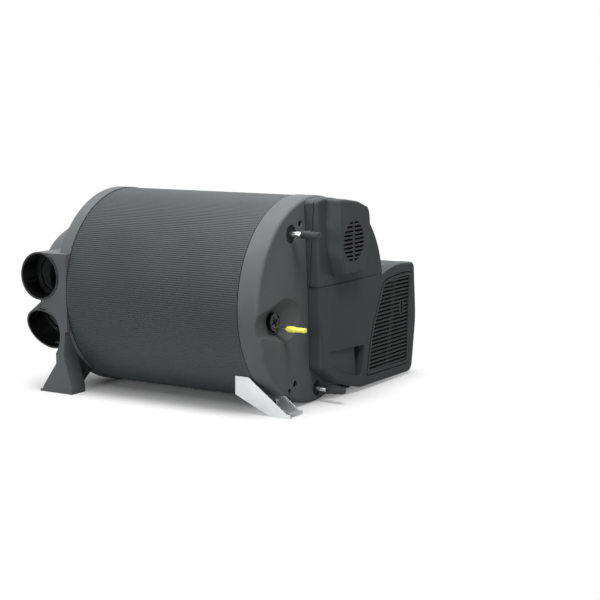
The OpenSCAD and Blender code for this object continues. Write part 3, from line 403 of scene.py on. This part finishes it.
# %% Dressed solids
EDGES_MM = {
    "air_distributor": 0.8, "end_cap": 0.8, "cover_base": 0.8, "upper_cover": 0.8,
    "fan_housing": 0.8, "bracket_front": 0.3, "bracket_rear": 0.3, "hot_plug": 0.6,
    "cold_plug": 0.6, "duct_socket_front_upper": 0.5, "duct_socket_front_lower": 0.5,
    "duct_socket_rear_upper": 0.5, "duct_socket_rear_lower": 0.5, "hot_pipe": 0.3,
    "cold_pipe": 0.3, "fuel_pipe": 0.2, "fuel_cap": 0.3, "fuel_fitting": 0.9,
    "exhaust_stub": 0.3, "burner_air_stub": 0.5, "air_sensor": 0.4, "cable_grommet": 0.5,
    "hot_grommet": 0.4, "cold_grommet": 0.4, "bracket_screws": 0.4, "fan_screws": 0.4,
    "fan_wheel": 0.0, "fan_motor": 0.4, "fan_front_plate": 0.4, "circuit_board": 0.2,
    "board_parts": 0.3, "jacket_seal_left": 0.2, "jacket_seal_right": 0.2,
}
for node, edge_mm in EDGES_MM.items():
    dress(node, edge_mm)
print("dressed:", len(EDGES_MM), "solids")

# %% [markdown]
# ## A tree for repeats
# Geometry Nodes make what repeats on the heater. A tree starts with named inputs
# and ends with one mesh, so a small helper builds the shell of such a tree, and
# another sets the inputs by their identifiers and bakes the result.

# %% Nodes and links


def feed(tree, sockets, values):
    """Gives each socket a number, or a link where the value is another node's socket."""
    for socket, value in zip(sockets, values):
        if isinstance(value, bpy.types.NodeSocket):
            tree.links.new(value, socket)
        else:
            socket.default_value = value


def calc(tree, operation, a, b=0.0, c=0.0):
    """One Math node; each operand is a number or another node's socket."""
    step = tree.nodes.new("ShaderNodeMath")
    step.operation = operation
    feed(tree, step.inputs, (a, b, c))
    return step.outputs[0]


def xyz(tree, x=0.0, y=0.0, z=0.0):
    """Joins three numbers or sockets into a vector."""
    join = tree.nodes.new("ShaderNodeCombineXYZ")
    feed(tree, join.inputs, (x, y, z))
    return join.outputs[0]


def split_position(tree):
    """The x, y and z of the point that the tree works on."""
    parts = tree.nodes.new("ShaderNodeSeparateXYZ")
    here = tree.nodes.new("GeometryNodeInputPosition")
    tree.links.new(here.outputs[0], parts.inputs[0])
    return parts.outputs


def geo(tree, kind, **inputs):
    """One Geometry node; inputs are given by their names with _ for a blank."""
    made = tree.nodes.new(kind)
    sockets = [made.inputs[title.replace("_", " ")] for title in inputs]
    feed(tree, sockets, inputs.values())
    return made


print("node helpers ready")

# %% Start, end and run of a tree


def open_tree(name, sizes, counts):
    """A new tree with named inputs; the second value holds their sockets."""
    tree = bpy.data.node_groups.new(name, "GeometryNodeTree")
    face = tree.interface
    for title in counts:
        face.new_socket(title, in_out="INPUT", socket_type="NodeSocketInt")
    for title in sizes:
        face.new_socket(title, in_out="INPUT", socket_type="NodeSocketFloat")
    face.new_socket("Finish", in_out="INPUT", socket_type="NodeSocketMaterial")
    face.new_socket("Mesh", in_out="OUTPUT", socket_type="NodeSocketGeometry")
    return tree, tree.nodes.new("NodeGroupInput").outputs


def close_tree(tree, instances, finish, merge_mm=0.0):
    """Ends a tree: makes instances real, merges them if asked and sets the finish."""
    last = geo(tree, "GeometryNodeRealizeInstances", Geometry=instances).outputs[0]
    if merge_mm > 0:
        near = merge_mm / 1000.0
        last = geo(tree, "GeometryNodeMergeByDistance", Geometry=last, Distance=near).outputs[0]
    last = geo(tree, "GeometryNodeSetMaterial", Geometry=last, Material=finish).outputs[0]
    tree.links.new(last, tree.nodes.new("NodeGroupOutput").inputs[0])


def grow(tree, name, values):
    """Runs a tree on an empty mesh with the given inputs and returns a plain mesh object."""
    carrier = put(name + "_tree", bpy.data.meshes.new(name))
    modifier = carrier.modifiers.new(name, "NODES")
    modifier.node_group = tree
    for item in tree.interface.items_tree:
        if item.item_type == "SOCKET" and item.in_out == "INPUT":
            modifier[item.identifier] = values[item.name]
    made = plain_mesh(carrier, name)
    print(name, "has", len(made.data.polygons), "faces")
    return made


print("tree helpers ready")

# %% [markdown]
# ## The ribbed jacket
# The jacket is a sheet rolled with fine ribs along it, about one every three
# millimetres. One rib is a small grid, bent into its share of the circle, with its
# crest rounded and its two edges sunk. The tree copies it round the axis, and
# Solidify gives the sheet its thickness.

# %% One rib
POINTS_ACROSS, CREST_POWER = 9, 3.0
rib_tree, given = open_tree(
    "ribs_round_an_axis", ("Radius", "Length", "Depth", "Start", "Axis Y", "Axis Z"), ("Ribs",)
)
turn_each = calc(rib_tree, "DIVIDE", 2.0 * math.pi, given["Ribs"])
strip = geo(
    rib_tree, "GeometryNodeMeshGrid", Size_X=given["Length"], Size_Y=1.0,
    Vertices_X=2, Vertices_Y=POINTS_ACROSS,
)
where = split_position(rib_tree)
off_crest = calc(rib_tree, "ABSOLUTE", calc(rib_tree, "MULTIPLY", where["Y"], 2.0))
sunk = calc(rib_tree, "POWER", off_crest, CREST_POWER)
sunk = calc(rib_tree, "MULTIPLY", sunk, given["Depth"])
rib_r = calc(rib_tree, "SUBTRACT", given["Radius"], sunk)
angle = calc(rib_tree, "MULTIPLY", where["Y"], turn_each)
sideways = calc(rib_tree, "MULTIPLY", rib_r, calc(rib_tree, "SINE", angle))
outwards = calc(rib_tree, "MULTIPLY", rib_r, calc(rib_tree, "COSINE", angle))
rib = geo(
    rib_tree, "GeometryNodeSetPosition", Geometry=strip.outputs["Mesh"],
    Position=xyz(rib_tree, where["X"], sideways, outwards),
)
print("one rib takes", len(rib_tree.nodes), "nodes")

# %% Ribs round the axis
SEAM_MM = 0.02  # edges of neighbouring ribs that are this close become one
number = rib_tree.nodes.new("GeometryNodeInputIndex").outputs[0]
copies = geo(
    rib_tree, "GeometryNodeInstanceOnPoints", Instance=rib.outputs[0],
    Points=geo(rib_tree, "GeometryNodePoints", Count=given["Ribs"]).outputs[0],
    Rotation=xyz(rib_tree, calc(rib_tree, "MULTIPLY", number, turn_each)),
)
half_length = calc(rib_tree, "MULTIPLY", given["Length"], 0.5)
middle = calc(rib_tree, "ADD", given["Start"], half_length)
moved = geo(
    rib_tree, "GeometryNodeTransform", Geometry=copies.outputs[0],
    Translation=xyz(rib_tree, middle, given["Axis Y"], given["Axis Z"]),
)
close_tree(rib_tree, moved.outputs[0], given["Finish"], merge_mm=SEAM_MM)
print("the whole tree has", len(rib_tree.nodes), "nodes")

# %% Jacket sheet
RIBS, RIB_DEPTH_M, SHEET_M = 288, 0.0007, 0.0008
RIB_SHARP_DEG = 60.0
low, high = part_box("jacket")
axis_y, axis_z = (low[1] + high[1]) / 2, (low[2] + high[2]) / 2
jacket_r = (high[2] - low[2]) / 2
jacket = grow(rib_tree, "jacket_ribs", {
    "Ribs": RIBS, "Radius": jacket_r, "Length": high[0] - low[0], "Depth": RIB_DEPTH_M,
    "Start": low[0], "Axis Y": axis_y, "Axis Z": axis_z,
    "Finish": FINISHES["jacket_anthracite"],
})
sheet = jacket.modifiers.new("sheet", "SOLIDIFY")
sheet.thickness = SHEET_M
sheet.offset = -1.0
jacket = plain_mesh(jacket, "jacket_sheet")
smooth(jacket.data, RIB_SHARP_DEG)
settle(jacket, "jacket")
print("rib pitch:", round(2000 * math.pi * jacket_r / RIBS, 2), "mm")

# %% [markdown]
# ## The intake grille
# Air for the fan comes in through a louvred grille with slanted sides. Its slats
# all differ in length, because each one runs from the left side to the right side,
# and the left side bends half way up. The tree places one rounded slat per row,
# finds both ends from the sides' slopes, and shortens the row below the top corner.

# %% Outlines on the end face
TIGHTEST_MM = 0.2  # the smallest corner radius that an inset leaves


def corner_sides(corners, i):
    """A corner's spot, the ways of its two sides, an inward normal and the inward pull."""
    here = Vector(corners[i][:2])
    before = (here - Vector(corners[i - 1][:2])).normalized()
    after = (Vector(corners[(i + 1) % len(corners)][:2]) - here).normalized()
    n1, n2 = Vector((-before.y, before.x)), Vector((-after.y, after.x))
    return here, before, after, n1, (n1 + n2) / (1.0 + n1.dot(n2))


def inset(corners, d):
    """Moves every side of a corner list inwards; a corner is (y, z, radius) in millimetres."""
    moved_in = []
    for i, (_, _, r) in enumerate(corners):
        here, _, _, _, pull = corner_sides(corners, i)
        spot = here + pull * d
        moved_in.append((spot.x, spot.y, max(r - d, TIGHTEST_MM)))
    return moved_in


def rounded(corners, steps=8):
    """Turns the corners into arcs and returns points."""
    points = []
    for i, (_, _, r) in enumerate(corners):
        here, before, after, n1, pull = corner_sides(corners, i)
        centre = here + pull * r
        start = math.atan2(-n1.y, -n1.x)
        bend = math.atan2(before.x * after.y - before.y * after.x, before.dot(after))
        for k in range(steps + 1):
            a = start + bend * k / steps
            points.append(centre + r * Vector((math.cos(a), math.sin(a))))
    return points


def on_end(x, p):
    """A point of the end face: x in metres, p as (y, z) in millimetres from the jacket's axis."""
    return Vector((x, axis_y + p[0] / 1000.0, axis_z + p[1] / 1000.0))


# Corners as (y, z, radius), in millimetres from the jacket's axis
GRILLE = [
    (166.5, 8.5, 6.0), (129.5, -62.0, 120.0), (114.5, -128.5, 5.0), (250.0, -130.5, 5.0),
    (258.0, 14.0, 5.0), (228.0, 15.5, 60.0), (190.0, 12.7, 60.0),
]
grille_back, grille_front = (corner[0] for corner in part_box("intake_grille"))
print("grille stands from", round(grille_back, 4), "to", round(grille_front, 4), "m along X")

# %% Louvre tree
louvre_tree, given = open_tree(
    "louvres_between_slanted_sides",
    ("Pitch", "First Z", "Left Y", "Left Slope", "Bend Z", "Bend Slope", "Right Y",
     "Right Slope", "Corner Z", "Corner Pull", "Slat Depth", "Slat Height", "Tilt", "Middle X"),
    ("Slats",),
)


def line_at(level, slope, start):
    """Where a slanted line is at a level."""
    return calc(louvre_tree, "MULTIPLY_ADD", level, slope, start)


def above(level, limit):
    """How far a level is above a limit, or zero."""
    return calc(louvre_tree, "MAXIMUM", calc(louvre_tree, "SUBTRACT", level, limit), 0.0)


bar = geo(louvre_tree, "GeometryNodeMeshCylinder", Vertices=16, Radius=0.5, Depth=1.0)
slat = geo(
    louvre_tree, "GeometryNodeTransform", Geometry=bar.outputs["Mesh"],
    Translation=(0.0, 0.5, 0.0), Rotation=(-math.pi / 2, 0.0, 0.0),
    Scale=xyz(louvre_tree, given["Slat Depth"], given["Slat Height"], 1.0),
)
row = louvre_tree.nodes.new("GeometryNodeInputIndex").outputs[0]
level = line_at(row, given["Pitch"], given["First Z"])
left = line_at(level, given["Left Slope"], given["Left Y"])
left = line_at(above(level, given["Bend Z"]), given["Bend Slope"], left)
left = line_at(above(level, given["Corner Z"]), given["Corner Pull"], left)
rows = geo(
    louvre_tree, "GeometryNodePoints", Count=given["Slats"],
    Position=xyz(louvre_tree, given["Middle X"], left, level),
)
here = split_position(louvre_tree)
right = line_at(here["Z"], given["Right Slope"], given["Right Y"])
slats = geo(
    louvre_tree, "GeometryNodeInstanceOnPoints", Points=rows.outputs[0],
    Instance=slat.outputs[0], Rotation=xyz(louvre_tree, 0.0, given["Tilt"], 0.0),
    Scale=xyz(louvre_tree, 1.0, calc(louvre_tree, "SUBTRACT", right, here["Y"]), 1.0),
)
close_tree(louvre_tree, slats.outputs[0], given["Finish"])
print("louvre tree has", len(louvre_tree.nodes), "nodes")

# %% Louvres
SLATS = 23
LOWEST_MM, HIGHEST_MM = -124.5, 9.5
LEFT_IN_MM, RIGHT_IN_MM = 4.3, -4.0
CORNER_MM, CORNER_PULL = 2.0, 2.2  # from this level up, slats shorten by this slope
SLAT_DEPTH_M, SLAT_HEIGHT_M, SLAT_TILT_DEG = 0.0058, 0.0036, 24.0
SLAT_SUNK_M = 0.0033
pitch = (HIGHEST_MM - LOWEST_MM) / SLATS


def slope_between(lower, upper):
    """How far a side moves along Y for each millimetre that it climbs."""
    return (upper[0] - lower[0]) / (upper[1] - lower[1])


def side_at_floor(corner, slope, pulled_in):
    """Where a slanted side, pulled in by a margin, crosses the height of the frame's floor."""
    y, z, _ = corner
    return axis_y + (y + pulled_in - slope * z) / 1000.0 - slope * axis_z


left_top, left_bend, left_foot, right_foot, right_top = GRILLE[:5]
left_slope = slope_between(left_foot, left_bend)
upper_slope = slope_between(left_bend, left_top)
right_slope = slope_between(right_foot, right_top)
louvres = grow(louvre_tree, "intake_louvres", {
    "Slats": SLATS, "Pitch": pitch / 1000.0,
    "First Z": axis_z + (LOWEST_MM + pitch / 2) / 1000.0,
    "Left Y": side_at_floor(left_foot, left_slope, LEFT_IN_MM), "Left Slope": left_slope,
    "Bend Z": axis_z + left_bend[1] / 1000.0, "Bend Slope": upper_slope - left_slope,
    "Right Y": side_at_floor(right_foot, right_slope, RIGHT_IN_MM), "Right Slope": right_slope,
    "Corner Z": axis_z + CORNER_MM / 1000.0, "Corner Pull": CORNER_PULL,
    "Slat Depth": SLAT_DEPTH_M, "Slat Height": SLAT_HEIGHT_M,
    "Tilt": math.radians(SLAT_TILT_DEG), "Middle X": grille_front - SLAT_SUNK_M,
    "Finish": FINISHES["grille_black"],
})

# %% [markdown]
# ## The grille's frame
# A flat frame with rounded corners carries the slats. Two slanted ribs stiffen them,
# and a small catch with a slit holds the grille in the cover. They are plain bmesh
# work: two outlines are joined into a ring, and the ribs are long prisms. The slit
# goes right through, so a Boolean modifier cuts it out of the slats as well.

# %% Rings, blocks and cuts


def ring_between(shell, outer, inner, x0, x1):
    """Adds a closed ring between two outlines that have the same number of points."""
    loops = [[shell.verts.new(on_end(x, p)) for p in line] for x, line in
             ((x1, outer), (x1, inner), (x0, inner), (x0, outer))]
    count = len(outer)
    for a, b in zip(loops, loops[1:] + loops[:1]):
        for i in range(count):
            j = (i + 1) % count
            shell.faces.new((a[i], a[j], b[j], b[i]))


def block_between(shell, foot_points, face_points):
    """Adds a closed block between two loops of points."""
    foot = [shell.verts.new(p) for p in foot_points]
    face = [shell.verts.new(p) for p in face_points]
    shell.faces.new(face)
    shell.faces.new(foot[::-1])
    for i in range(len(foot)):
        j = (i + 1) % len(foot)
        shell.faces.new((foot[i], foot[j], face[j], face[i]))


def prism(shell, outline, x0, x1):
    """Adds a closed prism over an outline."""
    block_between(shell, [on_end(x0, p) for p in outline], [on_end(x1, p) for p in outline])


def linked(shell, name):
    """Turns loose bmesh work into an object of the scene."""
    bmesh.ops.recalc_face_normals(shell, faces=shell.faces)
    mesh = bpy.data.meshes.new(name)
    shell.to_mesh(mesh)
    shell.free()
    return put(name, mesh)


def cut_out(piece, cutter, name):
    """Cuts one object out of another with a Boolean, and removes the cutter."""
    cut = piece.modifiers.new("cut", "BOOLEAN")
    cut.operation = "DIFFERENCE"
    cut.object = cutter
    made = plain_mesh(piece, name)
    bpy.data.objects.remove(cutter)
    return made


print("ring, block and cut helpers ready")

# %% Catch and slit
CATCH_AT = (228.0, -38.0)
CATCH_MM, SLIT_MM = (13.0, 22.0, 1.5), (5.0, 18.0, 0.8)
THROUGH_M = 0.002  # how far a cutter sticks out


def upright(middle_point, width, tall, r):
    """A rounded upright rectangle round a middle point."""
    (y, z), w, h = middle_point, width / 2, tall / 2
    corners = [(y - w, z - h, r), (y + w, z - h, r), (y + w, z + h, r), (y - w, z + h, r)]
    return rounded(corners, steps=3)


catch, slit = upright(CATCH_AT, *CATCH_MM), upright(CATCH_AT, *SLIT_MM)
shell = bmesh.new()
prism(shell, slit, grille_back - THROUGH_M, grille_front + THROUGH_M)
louvres = cut_out(louvres, linked(shell, "slit_cutter"), "intake_louvres")
print("slats with the slit cut out:", len(louvres.data.polygons), "faces")

# %% Frame, ribs and catch
GROOVE_MM, FRAME_MM = 1.1, 6.0
RIB_FOOT_MM, RIB_HEAD_MM = (181.5, -126.0), (206.7, 11.0)
RIB_BESIDE_MM, RIB_HALF_MM = 3.2, 1.0
RIB_SUNK_M, CATCH_SUNK_M = 0.0012, 0.0008
FRAME_EDGE_M, FRAME_SHARP_DEG = 0.0006, 40.0
shell = bmesh.new()
ring_between(
    shell, rounded(inset(GRILLE, GROOVE_MM)), rounded(inset(GRILLE, FRAME_MM)),
    grille_back, grille_front,
)
for side in (-RIB_BESIDE_MM, RIB_BESIDE_MM):
    foot_y, head_y = RIB_FOOT_MM[0] + side, RIB_HEAD_MM[0] + side
    outline = [
        (foot_y - RIB_HALF_MM, RIB_FOOT_MM[1]), (foot_y + RIB_HALF_MM, RIB_FOOT_MM[1]),
        (head_y + RIB_HALF_MM, RIB_HEAD_MM[1]), (head_y - RIB_HALF_MM, RIB_HEAD_MM[1]),
    ]
    prism(shell, outline, grille_back, grille_front - RIB_SUNK_M)
ring_between(shell, catch, slit, grille_back, grille_front - CATCH_SUNK_M)
holder = linked(shell, "grille_frame")
round_edges(holder, FRAME_EDGE_M, FRAME_SHARP_DEG)
holder = plain_mesh(holder, "grille_frame")
print("grille frame:", len(holder.data.polygons), "faces")

# %% Grille in one piece
SLAT_SHARP_DEG = 45.0
both = bmesh.new()
for half in (holder, louvres):
    both.from_mesh(half.data)
    bpy.data.objects.remove(half)
grille_mesh = bpy.data.meshes.new("intake_louvres_framed")
both.to_mesh(grille_mesh)
both.free()
grille = put("intake_louvres_framed", grille_mesh)
smooth(grille.data, SLAT_SHARP_DEG)
settle(grille, "intake_grille")
print("grille:", SLATS, "slats at", round(pitch, 2), "mm,", len(grille.data.polygons), "faces")

# %% [markdown]
# ## The grip recess
# Fingers reach under the lower cover's edge in a shallow pocket, whose floor slopes
# to a deep slot. On the moulding the pocket has a low step all round. A Boolean
# modifier cuts that step into a merged copy of the cover, and then it is dressed.

# %% Grip recess
GRIP = [
    (2.0, -75.0, 3.0), (2.0, -91.5, 6.0), (38.0, -109.5, 60.0), (93.0, -124.8, 4.0),
    (99.0, -124.8, 3.0), (106.0, -99.0, 80.0), (108.0, -79.5, 4.0),
]
STEP_MM, RIGHT_MM = 1.9, 7.0  # the floor's depth at the left and at the right
SPARE_MM = 0.13  # the cut is wider than the solid's pocket, so no two walls coincide
COVER_EDGE_MM = 0.8
cover_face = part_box("lower_cover")[1][0]


def pocket_floor(p):
    """How far along X the pocket's floor lies at a point of the end face."""
    left_y, right_y = GRIP[0][0], GRIP[-1][0]
    depth = STEP_MM + (RIGHT_MM - STEP_MM) * (p[0] - left_y) / (right_y - left_y)
    return cover_face - depth / 1000.0


outline = rounded(inset(GRIP, -SPARE_MM))
shell = bmesh.new()
block_between(
    shell, [on_end(pocket_floor(p), p) for p in outline],
    [on_end(cover_face + THROUGH_M, p) for p in outline],
)
cover = linked(merged("lower_cover"), "lower_cover_copy")
cover = cut_out(cover, linked(shell, "grip_hollow"), "lower_cover_copy")
shell = bmesh.new()
shell.from_mesh(cover.data)
bpy.data.objects.remove(cover)
bmesh.ops.remove_doubles(shell, verts=shell.verts, dist=WELD_M)
dress("lower_cover", COVER_EDGE_MM, reworked=shell)

# %% [markdown]
# ## The studio
# A pale floor runs out to a white background. One large soft lamp hangs above, as
# over a product table, and a second one stands in front. A small weak one hangs
# near the right end, so that the end face darkens downwards and its scoop shows.
# The camera sees the floor white beyond the heater's own shadow. To the light that
# bounces about, the floor is grey, so it doesn't brighten the heater from below.

# %% Floor finish
FLOOR_GREY, FLOOR_PALE = (0.35, 0.35, 0.35), (0.95, 0.95, 0.95)
SHADED_M = (0.12, 0.09, 0.0)  # half the sizes of the area that keeps its shadow
FADE_FROM_M, FADE_TO_M = 0.03, 0.26  # beside that area the floor turns white


def seen_rays(tree):
    """One where the camera or a mirror looks, zero for light that bounces about."""
    rays = tree.nodes.new("ShaderNodeLightPath")
    seen = rays.outputs["Is Camera Ray"]
    for title in ("Is Glossy Ray", "Is Transmission Ray"):
        seen = calc(tree, "MAXIMUM", seen, rays.outputs[title])
    return seen


def vector_step(tree, operation, a, b=(0.0, 0.0, 0.0)):
    """One Vector Math node on a socket and a fixed vector."""
    step = tree.nodes.new("ShaderNodeVectorMath")
    step.operation = operation
    tree.links.new(a, step.inputs[0])
    step.inputs[1].default_value = b
    return step.outputs


floor_finish, floor_tree, floor_shader = start_finish("studio_floor", (0.9, 0.9, 0.9), 0.9)
floor_shader.inputs["Specular IOR Level"].default_value = 0.0
seen = seen_rays(floor_tree)
two_tone(floor_tree, floor_shader, seen, FLOOR_GREY, FLOOR_PALE)
beside = vector_step(floor_tree, "ABSOLUTE", coords(floor_tree))[0]
beside = vector_step(floor_tree, "SUBTRACT", beside, SHADED_M)[0]
beside = vector_step(floor_tree, "MAXIMUM", beside)[0]
reach = vector_step(floor_tree, "LENGTH", beside)["Value"]
faded = spread(floor_tree, reach, 0.0, 1.0, FADE_FROM_M, FADE_TO_M)
glow = floor_tree.nodes.new("ShaderNodeEmission")
fade = floor_tree.nodes.new("ShaderNodeMixShader")
floor_tree.links.new(calc(floor_tree, "MULTIPLY", seen, faded), fade.inputs["Fac"])
floor_tree.links.new(floor_shader.outputs[0], fade.inputs[1])
floor_tree.links.new(glow.outputs[0], fade.inputs[2])
floor_tree.links.new(fade.outputs[0], floor_tree.nodes["Material Output"].inputs["Surface"])
print("the floor is white from", FADE_TO_M, "m beside the shaded area")

# %% Floor
HALF_M = 6.0
floor_mesh = bpy.data.meshes.new("studio_floor")
floor_mesh.from_pydata(
    [(-HALF_M, -HALF_M, 0), (HALF_M, -HALF_M, 0), (HALF_M, HALF_M, 0), (-HALF_M, HALF_M, 0)],
    [], [(0, 1, 2, 3)],
)
floor = put("studio_floor", floor_mesh)
floor_mesh.materials.append(floor_finish)
print("floor:", 2 * HALF_M, "m wide")

# %% Sky and lamps
SKY_FILL, SKY_SEEN = 0.07, 1.0
MIDDLE, RIGHT_END = (0.0, 0.0, 0.15), (0.2, 0.0, 0.15)
world = bpy.data.worlds.new("studio")
world.use_nodes = True
scene.world = world
sky = world.node_tree.nodes["Background"]
sky.inputs["Color"].default_value = (1.0, 1.0, 1.0, 1.0)
sky_level = spread(world.node_tree, seen_rays(world.node_tree), SKY_FILL, SKY_SEEN, 0.0, 1.0)
world.node_tree.links.new(sky_level, sky.inputs["Strength"])


def soft_lamp(name, at, target, size, watts):
    """One rectangular lamp that points at a target; places and sizes in metres."""
    data = bpy.data.lights.new(name, "AREA")
    data.shape = "RECTANGLE"
    data.size, data.size_y = size
    data.energy = watts
    aim_at(put(name, data), at, target)


soft_lamp("top_lamp", (-0.1, -0.1, 1.9), MIDDLE, (1.0, 1.2), 48.0)
soft_lamp("front_lamp", (0.1, -2.4, 0.45), MIDDLE, (0.9, 1.0), 23.0)
soft_lamp("end_lamp", (0.62, -0.35, 0.92), RIGHT_END, (0.3, 0.4), 4.6)
scene.view_settings.view_transform = "Standard"
